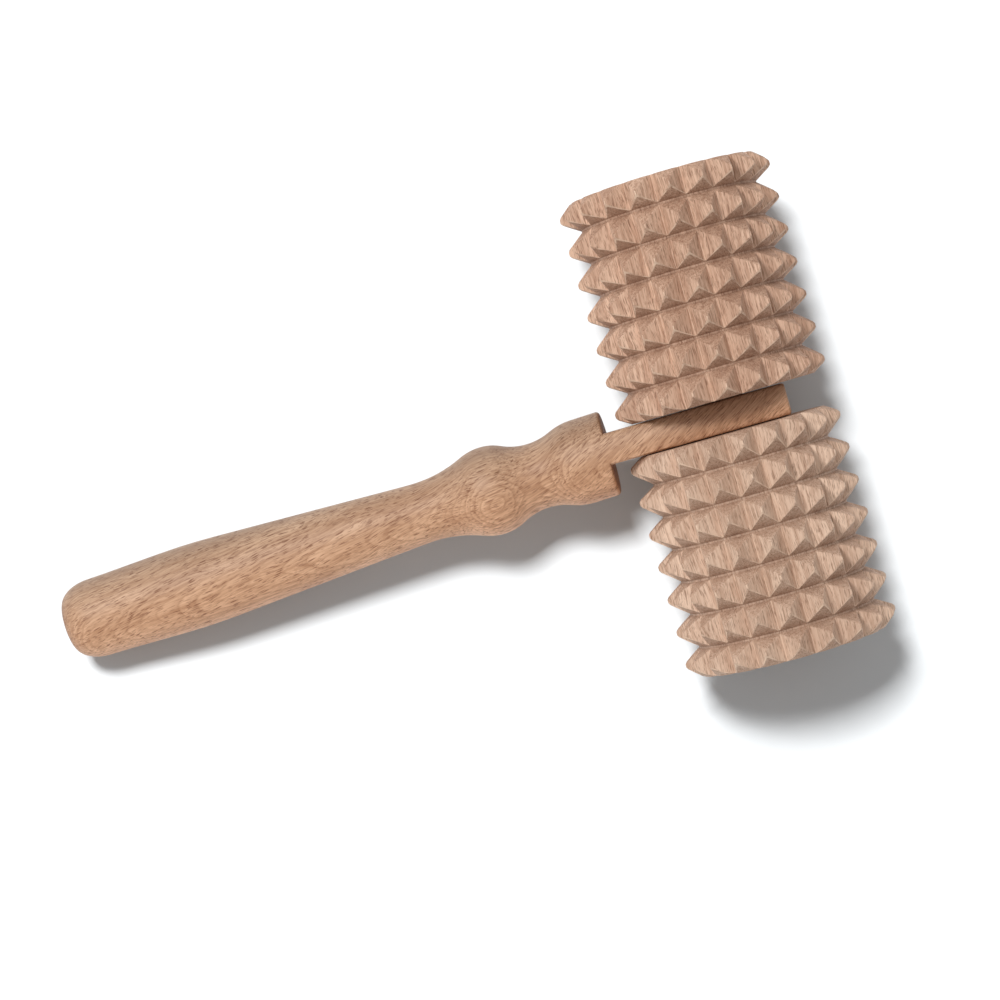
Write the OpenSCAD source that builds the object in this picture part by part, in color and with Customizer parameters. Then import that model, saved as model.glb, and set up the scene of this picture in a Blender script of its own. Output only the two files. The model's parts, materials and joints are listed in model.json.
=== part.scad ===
// Hand roller of turned beech. The end of the handle is milled to a flat tang, a dowel runs through the tang, and
// a spiked roller spins on the dowel at each side of it. A cap glued on each end of the dowel holds its roller on.
// X runs from the butt of the handle to the rollers, Y runs along the dowel, and Z is up. The roller lies as it
// does on a table, on its spikes and its butt, and the origin is on the table under the middle of it.

/* [Spiked rollers] */
// Diameter over the points of the spikes
roller_d = 64.7; // [50:0.1:80]
// Rows of spikes along each roller
spike_rows = 7; // [3:1:9]
// Spikes in each row
spikes_round = 20; // [16:2:24]
// Distance from one row to the next
row_pitch = 10; // [8:0.25:12]
// Depth of the grooves turned round the roller
ring_groove_depth = 5.5; // [4:0.1:7]
// Width of the floor of those grooves
ring_groove_floor = 0.9; // [0.4:0.1:2]
// Depth of the grooves cut along the roller
long_groove_depth = 5.2; // [4:0.1:7]
// Length of a spike's tip, along the roller
tip_length = 1.8; // [0.8:0.1:3]
// Width of a spike's tip, round the roller
tip_width = 0.3; // [0.2:0.05:1]
// How far the tips lean towards the tang
tip_lean = 0.5; // [0:0.1:1]
// Trimmed off the end next to the tang
inner_trim = 1; // [0:0.1:2]
// Trimmed off the end away from the tang
outer_trim = 1.4; // [0:0.1:2]
// Turn of the rollers at rest, in degrees from a spike straight up
rest_turn = -1.5; // [-9:0.5:9]

/* [Axle and caps] */
// Diameter of the dowel
axle_d = 12; // [8:0.5:16]
// Radial clearance of the rollers on the dowel
running_clearance = 0.1; // [0.05:0.01:0.1]
// Radial clearance of the glued joints
glue_clearance = 0.05; // [0.02:0.01:0.1]
// Gap between the tang and each roller
tang_gap = 0.35; // [0.2:0.05:1]
// Diameter of the end caps
cap_d = 22; // [19:0.5:28]
// Thickness of the end caps
cap_thickness = 5; // [4:0.25:8]
// Depth of the blind socket in an end cap
socket_depth = 3.5; // [2:0.25:3.5]
// Radial clearance round an end cap in its recess
cap_side_gap = 0.8; // [0.4:0.1:2]
// Gap under an end cap
cap_float = 0.4; // [0.2:0.05:1]
// How far an end cap lies below the end of its roller
cap_inset = 0.6; // [0.2:0.1:2]
// Rounding of the outer edge of an end cap
cap_edge = 1; // [0.4:0.1:2]

/* [Tang] */
// Thickness of the tang
tang_thickness = 9.4; // [7:0.1:14]
// Length of the tang past the middle of the dowel
tang_past_axle = 18.4; // [14:0.2:24]
// Angle between the handle and a square line to the dowel, in degrees
handle_skew = 2; // [0:0.1:3]

/* [Handle] */
// Gap between the spikes and the shoulders of the handle
shoulder_gap = 4.3; // [2:0.1:10]
// Length from the shoulders to the butt
handle_length = 172.8; // [145:0.2:215]
// Diameter of the collar
collar_d = 25.7; // [22:0.1:31]
// Length of the collar
collar_length = 8.6; // [4:0.2:10]
// Diameter of the neck behind the collar
neck_d = 20.1; // [16:0.1:21.5]
// Distance from the shoulders to the neck
neck_at = 22.7; // [20:0.1:25]
// Diameter of the bead
bead_d = 27; // [24:0.1:33]
// Distance from the shoulders to the bead
bead_at = 37.2; // [33:0.1:42]
// Diameter of the waist
waist_d = 18.4; // [15:0.1:21]
// Distance from the shoulders to the waist
waist_at = 58.5; // [52:0.5:68]
// Diameter of the grip at its fullest
grip_d = 25.6; // [22.5:0.1:31]
// Distance from the fullest part of the grip to the butt
grip_back = 39.5; // [30:0.5:48]
// Diameter where the rounding of the butt starts
butt_d = 24; // [20:0.1:25]
// Length of the rounding of the butt
butt_round = 9.4; // [8:0.1:18]
// Diameter of the flat in the middle of the butt
butt_flat_d = 13.2; // [4:0.1:14]

/* [Hidden] */
$fn = 96;
arc_step = 3;  // degrees of an arc between two points
past = 1;      // how far a cut runs past a face

// Rollers, measured along the dowel from the middle of the tang
tip_r = roller_d / 2;
ring_floor_r = tip_r - ring_groove_depth;
long_floor_r = tip_r - long_groove_depth;
spike_angle = 360 / spikes_round;
tip_half_angle = asin(tip_width / 2 / tip_r);
roller_start = tang_thickness / 2 + tang_gap;
first_floor = roller_start - inner_trim;
last_floor = first_floor + spike_rows * row_pitch;
roller_end = last_floor - outer_trim;

// Axle and caps, measured the same way
bore_r = axle_d / 2 + running_clearance;
glued_bore_r = axle_d / 2 + glue_clearance;
recess_r = cap_d / 2 + cap_side_gap;
cap_end = roller_end - cap_inset;
cap_start = cap_end - cap_thickness;
recess_floor = cap_start - cap_float;
axle_half_length = cap_start + socket_depth - glue_clearance;

// Handle, measured along its axis from the middle of the dowel
shoulder_at = tip_r + shoulder_gap;
butt_at = shoulder_at + handle_length;
collar = [shoulder_at + collar_length, collar_d / 2];
neck = [shoulder_at + neck_at, neck_d / 2];
bead = [shoulder_at + bead_at, bead_d / 2];
waist = [shoulder_at + waist_at, waist_d / 2];
grip = [butt_at - grip_back, grip_d / 2];
butt = [butt_at - butt_round, butt_d / 2];

// Height of the dowel over the table, with the lowest spike on the table
function off_spike(direction) =
    let (turn = direction - rest_turn)
    max(0, abs(turn - spike_angle * round(turn / spike_angle)) - tip_half_angle);
axle_height = tip_r * cos(off_spike(180));

// A run of the outline from a to b, each [distance along the axis, radius]: an arc out of a, a straight taper and
// an arc into b. Both ends are parallel to the axis. The shares set the two arcs, and together they make 1 where
// no straight taper is left.
function run(a, b, share_a, share_b) =
    let (
        length = b[0] - a[0],
        rise = abs(b[1] - a[1]),
        way = sign(b[1] - a[1]),
        widest = (length * length + rise * rise) / (2 * rise),
        arc_a = share_a * widest,
        arc_b = share_b * widest,
        both = arc_a + arc_b,
        slope = asin(min(1, both / norm([length, both - rise]))) - atan2(both - rise, length),
        steps = ceil(slope / arc_step),
        first = share_a + share_b < 1 ? steps : steps - 1
    )
    concat(
        [for (i = [1:steps]) let (q = slope * i / steps) a + arc_a * [sin(q), way * (1 - cos(q))]],
        [for (i = [first:-1:0]) let (q = slope * i / steps) b - arc_b * [sin(q), way * (1 - cos(q))]]
    );

// A quarter of an ellipse round centre, from the angle from to the angle to, without its first point
function quarter(centre, length, height, from, to) =
    let (steps = 90 / (2 * arc_step))
    [for (i = [1:steps])
        let (q = from + (to - from) * i / steps) centre + [length * cos(q), height * sin(q)]];

// Outline of the turned handle, from the end of the collar to the butt
handle_outline = concat(
    [collar],
    run(collar, neck, 0.5, 0.5),
    run(neck, bead, 0.55, 0.45),
    run(bead, waist, 0.3, 0.7),
    run(waist, grip, 0.1, 0.27),
    run(grip, butt, 0.35, 0.3),
    quarter([butt[0], butt_flat_d / 2], butt_round, butt[1] - butt_flat_d / 2, 90, 0)
);

// The handle tilts until the first point of its outline meets the table
function touch_angle(p) = asin(axle_height / norm(p)) - atan2(p[1], p[0]);
handle_tilt = min([for (p = handle_outline) touch_angle(p)]);

// Middle of the whole roller along X, measured from the dowel
axis_share = cos(handle_tilt) * cos(handle_skew);
reach_back = max([for (p = handle_outline) p[0] * axis_share + p[1] * sqrt(1 - axis_share * axis_share)]);
reach_front = tip_r * cos(off_spike(90));
axle_x = (reach_back - reach_front) / 2;

beech = [0.80, 0.61, 0.47];
shaded_beech = [0.73, 0.57, 0.45];
dowel_beech = [0.84, 0.70, 0.55];

// Moves what is drawn round the middle of the dowel to its place over the table
module on_table() {
    translate([axle_x, 0, axle_height]) children();
}

// Turns what is drawn up Z to lie along Y
module along_dowel() {
    rotate([-90, 0, 0]) children();
}

// Handle, drawn with its axis along -X from the middle of the dowel. It is turned as one blank, and its end is
// milled down to the tang at both sides.
module handle() {
    color(beech) on_table() rotate([0, -handle_tilt, 0]) difference() {
        rotate([0, 0, handle_skew]) rotate([0, -90, 0]) turned_blank();
        beside_tang();
        mirror([0, 1, 0]) beside_tang();
        translate([tang_past_axle, -collar_d, -collar_d]) cube(2 * collar_d);
        along_dowel() cylinder(r = glued_bore_r, h = 2 * tang_thickness, center = true);
    }
}

module turned_blank() {
    blank_front = -2 * tang_past_axle;
    rotate_extrude() polygon(concat(
        [[0, blank_front], [collar[1], blank_front]],
        [for (p = handle_outline) [p[1], p[0]]],
        [[0, butt_at]]
    ));
}

// What is milled off one side of the tang, back to the shoulder
module beside_tang() {
    translate([-shoulder_at, tang_thickness / 2, -collar_d])
        cube([shoulder_at + 3 * tang_past_axle, collar_d, 2 * collar_d]);
}

module axle() {
    color(dowel_beech) on_table() along_dowel()
        cylinder(d = axle_d, h = 2 * axle_half_length, center = true);
}

module roller_left() {
    color(shaded_beech) on_table() spiked_roller();
}

module roller_right() {
    color(shaded_beech) on_table() mirror([0, 1, 0]) spiked_roller();
}

module spiked_roller() {
    rotate([0, rest_turn, 0]) along_dowel() difference() {
        rotate_extrude() ringed_outline();
        for (i = [0:spikes_round - 1]) rotate([0, 0, (i + 0.5) * spike_angle - 90]) long_groove();
        translate([0, 0, roller_start - past]) cylinder(r = bore_r, h = roller_end);
        translate([0, 0, recess_floor]) cylinder(r = recess_r, h = roller_end - recess_floor + past);
    }
}

// Half section of a roller: a straight bar with a ring of the spikes' height for each row
module ringed_outline() {
    intersection() {
        polygon(concat(
            [[0, first_floor], [ring_floor_r, first_floor]],
            [for (i = [0:spike_rows - 1]) each ring_points(first_floor + i * row_pitch)],
            [[ring_floor_r, last_floor], [0, last_floor]]
        ));
        translate([0, roller_start]) square([roller_d, roller_end - roller_start]);
    }
}

// One ring, whose grooves have their middles at start and one pitch on
function ring_points(start) =
    let (tip = start + row_pitch / 2 - tip_lean)
    [
        [ring_floor_r, start + ring_groove_floor / 2],
        [tip_r, tip - tip_length / 2],
        [tip_r, tip + tip_length / 2],
        [ring_floor_r, start + row_pitch - ring_groove_floor / 2]
    ];

// A groove with straight sides that leaves the spikes' tips at each side of it
module long_groove() {
    half = spike_angle / 2 - tip_half_angle;
    side = tip_r * [cos(half), sin(half)] - [long_floor_r, 0];
    opening = 1.5 * side;
    translate([0, 0, roller_start - past]) linear_extrude(roller_end)
        polygon([
            [long_floor_r, 0],
            [long_floor_r + opening[0], -opening[1]],
            [long_floor_r + opening[0], opening[1]]
        ]);
}

module end_cap_left() {
    color(dowel_beech) on_table() end_cap();
}

module end_cap_right() {
    color(dowel_beech) on_table() mirror([0, 1, 0]) end_cap();
}

module end_cap() {
    along_dowel() difference() {
        rotate_extrude() polygon(concat(
            [[0, cap_start], [cap_d / 2, cap_start], [cap_d / 2, cap_end - cap_edge]],
            quarter([cap_d / 2 - cap_edge, cap_end - cap_edge], cap_edge, cap_edge, 0, 90),
            [[0, cap_end]]
        ));
        translate([0, 0, cap_start - past]) cylinder(r = glued_bore_r, h = socket_depth + past);
    }
}

handle();
axle();
roller_left();
roller_right();
end_cap_left();
end_cap_right();
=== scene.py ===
"""Looks of a beech hand roller: a turned handle, its dowel and end caps, and two spiked rollers."""

import json
import logging
import math
from dataclasses import dataclass, field
from enum import Enum

import bmesh
import bpy
from mathutils import Matrix, Vector


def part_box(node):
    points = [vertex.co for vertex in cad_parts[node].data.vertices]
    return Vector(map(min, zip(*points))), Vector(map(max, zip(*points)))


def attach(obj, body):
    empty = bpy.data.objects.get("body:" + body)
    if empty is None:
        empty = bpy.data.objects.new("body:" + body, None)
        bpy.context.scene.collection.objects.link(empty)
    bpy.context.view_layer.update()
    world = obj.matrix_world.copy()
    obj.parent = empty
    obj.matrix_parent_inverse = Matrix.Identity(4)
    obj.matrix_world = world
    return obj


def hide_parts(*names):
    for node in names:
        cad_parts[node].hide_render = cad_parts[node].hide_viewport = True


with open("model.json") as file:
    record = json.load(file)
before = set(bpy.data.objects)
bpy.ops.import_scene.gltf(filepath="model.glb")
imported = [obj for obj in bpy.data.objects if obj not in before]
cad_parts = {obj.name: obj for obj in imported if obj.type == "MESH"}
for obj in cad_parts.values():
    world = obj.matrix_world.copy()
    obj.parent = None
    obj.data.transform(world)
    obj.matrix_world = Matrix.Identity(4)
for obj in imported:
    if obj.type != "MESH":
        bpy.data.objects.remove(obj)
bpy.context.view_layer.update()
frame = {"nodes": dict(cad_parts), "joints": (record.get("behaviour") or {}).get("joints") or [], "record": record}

logging.basicConfig(level=logging.INFO, format="%(message)s")
log = logging.getLogger("hand_roller")

MM = 0.001
# The mark that pales the spikes' edges: worn tips and valleys, and a painted highlight on the edge beside each wall
# that faces away from the soft box.
WEAR_AND_HIGHLIGHT = "wear"
# The mark that darkens the floors of the ring grooves: painted shade, where the grooves are hidden from the light.
GROOVE_SHADE = "grime"
END_GRAIN = "end_grain"

Node = bpy.types.Node
Socket = bpy.types.NodeSocket
Tree = bpy.types.NodeTree


class Side(Enum):
    """The two sides of the tang, as the holder of the handle sees them."""

    LEFT = "left"
    RIGHT = "right"

    @property
    def sign(self) -> int:
        """Which way this side lies along Y."""
        return 1 if self is Side.LEFT else -1


# --------------------------------------------------------------------------- meshes


def shade(mesh: bpy.types.Mesh, crease: float) -> None:
    """Shades a mesh smooth, with sharp edges where faces meet at more than an angle.

    Args:
        mesh: the mesh to shade.
        crease: the angle in degrees past which an edge is sharp.
    """
    mesh.shade_smooth()
    mesh.set_sharp_from_angle(angle=math.radians(crease))


def mesh_object(name: str, points: list[Vector], faces: list[tuple[int, ...]]) -> bpy.types.Object:
    """Makes an object from points and faces, with its normals outwards.

    Args:
        name: the name of the object.
        points: the vertices, in metres.
        faces: the vertex indices of each face.

    Returns:
        The new object, linked to the scene.
    """
    mesh = bpy.data.meshes.new(name)
    mesh.from_pydata([tuple(p) for p in points], [], faces)
    work = bmesh.new()
    work.from_mesh(mesh)
    bmesh.ops.remove_doubles(work, verts=work.verts, dist=1e-7)
    bmesh.ops.recalc_face_normals(work, faces=work.faces)
    work.to_mesh(mesh)
    work.free()
    thing = bpy.data.objects.new(name, mesh)
    bpy.context.scene.collection.objects.link(thing)
    return thing


def bridge(first: list[int], second: list[int]) -> list[tuple[int, ...]]:
    """Joins two closed loops of vertices, equally long, with a ring of quads.

    Args:
        first: the vertex indices of one loop.
        second: those of the other, in step with it.

    Returns:
        One quad for each pair of neighbours.
    """
    count = len(first)
    return [(first[i], first[(i + 1) % count], second[(i + 1) % count], second[i]) for i in range(count)]


def lathe(name: str, outline: list[tuple[float, float]], turns: list[float]) -> bpy.types.Object:
    """Turns a closed outline about the Y axis.

    Args:
        name: the name of the object.
        outline: (radius, y) of each point of the half section, in metres. A radius of zero closes it.
        turns: the angles of the outline's copies, in radians from +Z towards +X.

    Returns:
        The turned object.
    """
    points: list[Vector] = []
    loops: list[list[int]] = []
    faces: list[tuple[int, ...]] = []
    for radius, y in outline:
        if radius < 1e-9:
            loops.append([len(points)])
            points.append(Vector((0, y, 0)))
            continue
        loops.append(list(range(len(points), len(points) + len(turns))))
        points += [Vector((radius * math.sin(a), y, radius * math.cos(a))) for a in turns]
    for one, two in zip(loops, loops[1:]):
        if len(one) == 1 or len(two) == 1:
            hub, rim = (one[0], two) if len(one) == 1 else (two[0], one)
            faces += [(hub, rim[i], rim[(i + 1) % len(rim)]) for i in range(len(rim))]
        else:
            faces += bridge(one, two)
    return mesh_object(name, points, faces)


def even_turns(count: int) -> list[float]:
    """Gives count equal steps of a full turn, in radians."""
    return [2 * math.pi * i / count for i in range(count)]


# --------------------------------------------------------------------------- node helpers


def node_of(tree: Tree, kind: str, **settings: object) -> Node:
    """Adds a node to a tree and sets its properties.

    Args:
        tree: the node tree.
        kind: the node's type name.
        settings: the properties to set on the node.

    Returns:
        The new node.
    """
    made = tree.nodes.new(kind)
    for key, value in settings.items():
        setattr(made, key, value)
    return made


def plug(tree: Tree, source: Socket | float | tuple, target: Socket) -> None:
    """Links a socket to a target, or sets the target to a plain value.

    Args:
        tree: the node tree.
        source: an output socket or a value.
        target: the input socket.
    """
    if isinstance(source, bpy.types.NodeSocket):
        tree.links.new(source, target)
    else:
        target.default_value = source


def maths(tree: Tree, operation: str, *values: Socket | float, clamp: bool = False) -> Socket:
    """Adds a Math node.

    Args:
        tree: the node tree.
        operation: the node's operation.
        values: its inputs, sockets or numbers.
        clamp: whether the result is kept from 0 to 1.

    Returns:
        The result's socket.
    """
    made = node_of(tree, "ShaderNodeMath", operation=operation, use_clamp=clamp)
    for value, target in zip(values, made.inputs):
        plug(tree, value, target)
    return made.outputs[0]


def vector_maths(tree: Tree, operation: str, *values: Socket | tuple) -> Node:
    """Adds a Vector Math node and returns it.

    Args:
        tree: the node tree.
        operation: the node's operation.
        values: its vector inputs, sockets or triples.

    Returns:
        The node.
    """
    made = node_of(tree, "ShaderNodeVectorMath", operation=operation)
    for value, target in zip(values, made.inputs):
        plug(tree, value, target)
    return made


def ramp(tree: Tree, value: Socket, low: float, high: float, smooth: bool = True) -> Socket:
    """Maps a value from the range low to high onto 0 to 1, clamped.

    Args:
        tree: the node tree.
        value: the socket to map.
        low: what becomes 0.
        high: what becomes 1.
        smooth: whether the ends are eased.

    Returns:
        The mapped value's socket.
    """
    made = node_of(tree, "ShaderNodeMapRange", interpolation_type="SMOOTHSTEP" if smooth else "LINEAR")
    plug(tree, value, made.inputs["Value"])
    made.inputs["From Min"].default_value = low
    made.inputs["From Max"].default_value = high
    return made.outputs["Result"]


def blend(tree: Tree, share: Socket | float, first: Socket | tuple, second: Socket | tuple,
          mode: str = "MIX") -> Socket:
    """Mixes two colours.

    Args:
        tree: the node tree.
        share: how much of the second colour shows.
        first: the first colour, a socket or an RGBA value.
        second: the second colour.
        mode: the way they mix.

    Returns:
        The mixed colour's socket.
    """
    made = node_of(tree, "ShaderNodeMix", data_type="RGBA", blend_type=mode)
    plug(tree, share, made.inputs["Factor"])
    plug(tree, first, made.inputs[6])
    plug(tree, second, made.inputs[7])
    return made.outputs[2]


def noise(tree: Tree, place: Socket, scale: float, detail: float, roughness: float = 0.5) -> Socket:
    """Adds a 3-D noise texture.

    Args:
        tree: the node tree.
        place: the coordinates.
        scale: the noise's scale.
        detail: how many octaves it has.
        roughness: how strong the finer octaves are.

    Returns:
        The noise's value, about 0.5 on average.
    """
    made = node_of(tree, "ShaderNodeTexNoise")
    plug(tree, place, made.inputs["Vector"])
    made.inputs["Scale"].default_value = scale
    made.inputs["Detail"].default_value = detail
    made.inputs["Roughness"].default_value = roughness
    return made.outputs["Fac"]


def group_tree(name: str, kind: str, inputs: list[tuple[str, str, object]],
               outputs: list[tuple[str, str]]) -> tuple[Tree, Node, Node]:
    """Makes a node group with named sockets.

    Args:
        name: the group's name.
        kind: the group's type, for shaders or for geometry.
        inputs: the name, socket type and default value of each input.
        outputs: the name and socket type of each output.

    Returns:
        The tree, its input node and its output node.
    """
    tree = bpy.data.node_groups.new(name, kind)
    for label, socket_type, default in inputs:
        made = tree.interface.new_socket(label, in_out="INPUT", socket_type=socket_type)
        if default is not None:
            made.default_value = default
    for label, socket_type in outputs:
        tree.interface.new_socket(label, in_out="OUTPUT", socket_type=socket_type)
    return tree, tree.nodes.new("NodeGroupInput"), tree.nodes.new("NodeGroupOutput")


def srgb(red: int, green: int, blue: int) -> tuple[float, float, float, float]:
    """Turns a colour as a screen shows it, 0 to 255, into the linear RGBA that a shader takes."""
    def line(value: int) -> float:
        """Makes one channel linear."""
        share = value / 255
        return share / 12.92 if share <= 0.04045 else ((share + 0.055) / 1.055) ** 2.4
    return line(red), line(green), line(blue), 1.0


# --------------------------------------------------------------------------- beech


def beech_figure_group() -> Tree:
    """Builds the group that draws beech's figure from a place in the tree's own coordinates.

    Its Vector is in millimetres, with the pith along X. Drift is how far the grain runs aside for each step along
    X, and Late Drift is added to it past Drift Start. Dive is how far the rings rise for each step. The last two
    inputs darken the wood on the side that the way points to, by the way's length for each millimetre: painted
    shade that evens out the soft box's light there, partly the wood's greyer tone. It puts out the wood's colour, a
    height for a bump and a mask of the dark ray flecks.

    Returns:
        The node group.
    """
    tree, given, out = group_tree(
        "beech_figure", "ShaderNodeTree",
        [
            ("Vector", "NodeSocketVector", None),
            ("Pale", "NodeSocketColor", srgb(214, 172, 142)),
            ("Deep", "NodeSocketColor", srgb(176, 126, 96)),
            ("Fleck", "NodeSocketColor", srgb(138, 88, 60)),
            ("Ring Width", "NodeSocketFloat", 2.6),
            ("Ring Strength", "NodeSocketFloat", 0.5),
            ("Fleck Size", "NodeSocketFloat", 1.0),
            ("Fleck Strength", "NodeSocketFloat", 0.8),
            ("Streak Strength", "NodeSocketFloat", 0.4),
            ("Drift", "NodeSocketFloat", 0.0),
            ("Late Drift", "NodeSocketFloat", 0.0),
            ("Drift Start", "NodeSocketFloat", 0.0),
            ("Dive", "NodeSocketFloat", 0.0),
            ("Pith", "NodeSocketVector", (0.0, 0.0, 40.0)),
            ("Heart", "NodeSocketColor", (1.0, 1.0, 1.0, 1.0)),
            ("Heart Way", "NodeSocketVector", (0.0, 0.0, 0.0)),
        ],
        [("Color", "NodeSocketColor"), ("Height", "NodeSocketFloat"), ("Fleck Mask", "NodeSocketFloat")],
    )

    # The grain drifts aside along the piece, in a bend about this long
    bend = 12.0
    apart = node_of(tree, "ShaderNodeSeparateXYZ")
    plug(tree, given.outputs["Vector"], apart.inputs[0])
    along = apart.outputs["X"]
    past = maths(tree, "DIVIDE", maths(tree, "SUBTRACT", along, given.outputs["Drift Start"]), bend)
    eased = maths(tree, "LOGARITHM", maths(tree, "ADD", maths(tree, "EXPONENT", past), 1.0), math.e)
    late = maths(tree, "MULTIPLY", maths(tree, "MULTIPLY", eased, bend), given.outputs["Late Drift"])
    aside = maths(tree, "ADD", maths(tree, "MULTIPLY", along, given.outputs["Drift"]), late)
    straight = node_of(tree, "ShaderNodeCombineXYZ")
    plug(tree, along, straight.inputs["X"])
    plug(tree, maths(tree, "SUBTRACT", apart.outputs["Y"], aside), straight.inputs["Y"])
    plug(tree, apart.outputs["Z"], straight.inputs["Z"])

    # It wanders a little besides
    slow = vector_maths(tree, "MULTIPLY", straight.outputs[0], (0.02, 0.05, 0.05)).outputs[0]
    wander = node_of(tree, "ShaderNodeTexNoise")
    plug(tree, slow, wander.inputs["Vector"])
    wander.inputs["Scale"].default_value = 1.0
    wander.inputs["Detail"].default_value = 3.0
    centred = vector_maths(tree, "SUBTRACT", wander.outputs["Color"], (0.5, 0.5, 0.5)).outputs[0]
    shift = vector_maths(tree, "MULTIPLY", centred, (0.0, 8.0, 8.0)).outputs[0]
    grain = vector_maths(tree, "ADD", straight.outputs[0], shift).outputs[0]

    # Year rings round the pith, each with a darker edge of its own strength. They dive, but don't drift.
    upright = node_of(tree, "ShaderNodeCombineXYZ")
    dive = maths(tree, "MULTIPLY", along, given.outputs["Dive"])
    plug(tree, apart.outputs["Y"], upright.inputs["Y"])
    plug(tree, maths(tree, "SUBTRACT", apart.outputs["Z"], dive), upright.inputs["Z"])
    ring_shift = vector_maths(tree, "MULTIPLY", shift, (0.0, 0.4, 0.4)).outputs[0]
    ring_place = vector_maths(tree, "ADD", upright.outputs[0], ring_shift).outputs[0]
    from_pith = vector_maths(tree, "ADD", ring_place, given.outputs["Pith"]).outputs[0]
    radius = vector_maths(tree, "LENGTH", from_pith).outputs["Value"]
    ring_count = maths(tree, "DIVIDE", radius, given.outputs["Ring Width"])
    within = maths(tree, "FRACT", ring_count)
    ring_line = maths(tree, "MAXIMUM", maths(tree, "POWER", within, 3.0), ramp(tree, within, 0.15, 0.0))
    year = node_of(tree, "ShaderNodeTexWhiteNoise", noise_dimensions="1D")
    plug(tree, maths(tree, "FLOOR", ring_count), year.inputs["W"])
    year_strength = maths(tree, "MULTIPLY_ADD", year.outputs["Value"], 0.9, 0.25)
    rings = maths(tree, "MULTIPLY", maths(tree, "MULTIPLY", ring_line, year_strength),
                  given.outputs["Ring Strength"], clamp=True)

    # Broad warm and cool patches along the grain
    patch_place = vector_maths(tree, "MULTIPLY", grain, (0.02, 0.12, 0.12)).outputs[0]
    patches = ramp(tree, noise(tree, patch_place, 1.0, 3.0), 0.32, 0.7)

    # Fibre stripes and the fine dark pore lines among them
    stripe_place = vector_maths(tree, "MULTIPLY", grain, (0.045, 1.3, 1.3)).outputs[0]
    stripes = ramp(tree, noise(tree, stripe_place, 1.0, 4.0, 0.75), 0.42, 0.62)
    pore_place = vector_maths(tree, "MULTIPLY", grain, (0.22, 2.6, 2.6)).outputs[0]
    pores = ramp(tree, noise(tree, pore_place, 1.0, 2.0, 0.6), 0.55, 0.66)
    stripes = maths(tree, "MULTIPLY", stripes, given.outputs["Streak Strength"], clamp=True)
    pores = maths(tree, "MULTIPLY", pores, given.outputs["Streak Strength"], clamp=True)

    # Ray flecks: short dark dashes along the grain, each in a cell of its own that runs deep along Z
    masks = []
    size = given.outputs["Fleck Size"]
    for length, width, reach in ((5.2, 0.52, 0.33), (3.4, 0.38, 0.33)):
        cells = node_of(tree, "ShaderNodeTexVoronoi", feature="F1")
        sized = node_of(tree, "ShaderNodeVectorMath", operation="SCALE")
        plug(tree, vector_maths(tree, "MULTIPLY", grain, (1 / length, 1 / width, 0.4 / width)).outputs[0],
             sized.inputs[0])
        plug(tree, maths(tree, "DIVIDE", 1.0, size), sized.inputs["Scale"])
        plug(tree, sized.outputs[0], cells.inputs["Vector"])
        cells.inputs["Scale"].default_value = 1.0
        dash = ramp(tree, cells.outputs["Distance"], reach, 0.5 * reach)
        chance = node_of(tree, "ShaderNodeSeparateColor")
        plug(tree, cells.outputs["Color"], chance.inputs[0])
        masks.append(maths(tree, "MULTIPLY", dash, ramp(tree, chance.outputs[0], 0.15, 0.7)))
    dashes = maths(tree, "MAXIMUM", *masks)
    dashes = maths(tree, "MULTIPLY", dashes, given.outputs["Fleck Strength"], clamp=True)

    colour = blend(tree, maths(tree, "MULTIPLY", patches, 0.5), given.outputs["Pale"], given.outputs["Deep"])
    colour = blend(tree, stripes, colour, given.outputs["Deep"])
    colour = blend(tree, rings, colour, blend(tree, 0.3, given.outputs["Deep"], given.outputs["Fleck"]))
    colour = blend(tree, maths(tree, "MULTIPLY", pores, 0.8), colour, given.outputs["Fleck"])
    colour = blend(tree, dashes, colour, given.outputs["Fleck"])
    # Painted shade: the wood darkens towards the side that the way points to, evening out the soft box's light
    # there
    lean = vector_maths(tree, "DOT_PRODUCT", given.outputs["Vector"], given.outputs["Heart Way"]).outputs["Value"]
    side_shade = maths(tree, "ADD", lean, 0.5, clamp=True)
    colour = blend(tree, side_shade, colour, given.outputs["Heart"], "MULTIPLY")
    plug(tree, colour, out.inputs["Color"])
    dips = maths(tree, "ADD", maths(tree, "MULTIPLY", dashes, 0.6), maths(tree, "MULTIPLY", pores, 0.6))
    height = maths(tree, "SUBTRACT", 1.0, maths(tree, "ADD", dips, maths(tree, "MULTIPLY", stripes, 0.3)))
    plug(tree, height, out.inputs["Height"])
    plug(tree, dashes, out.inputs["Fleck Mask"])
    return tree


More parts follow.
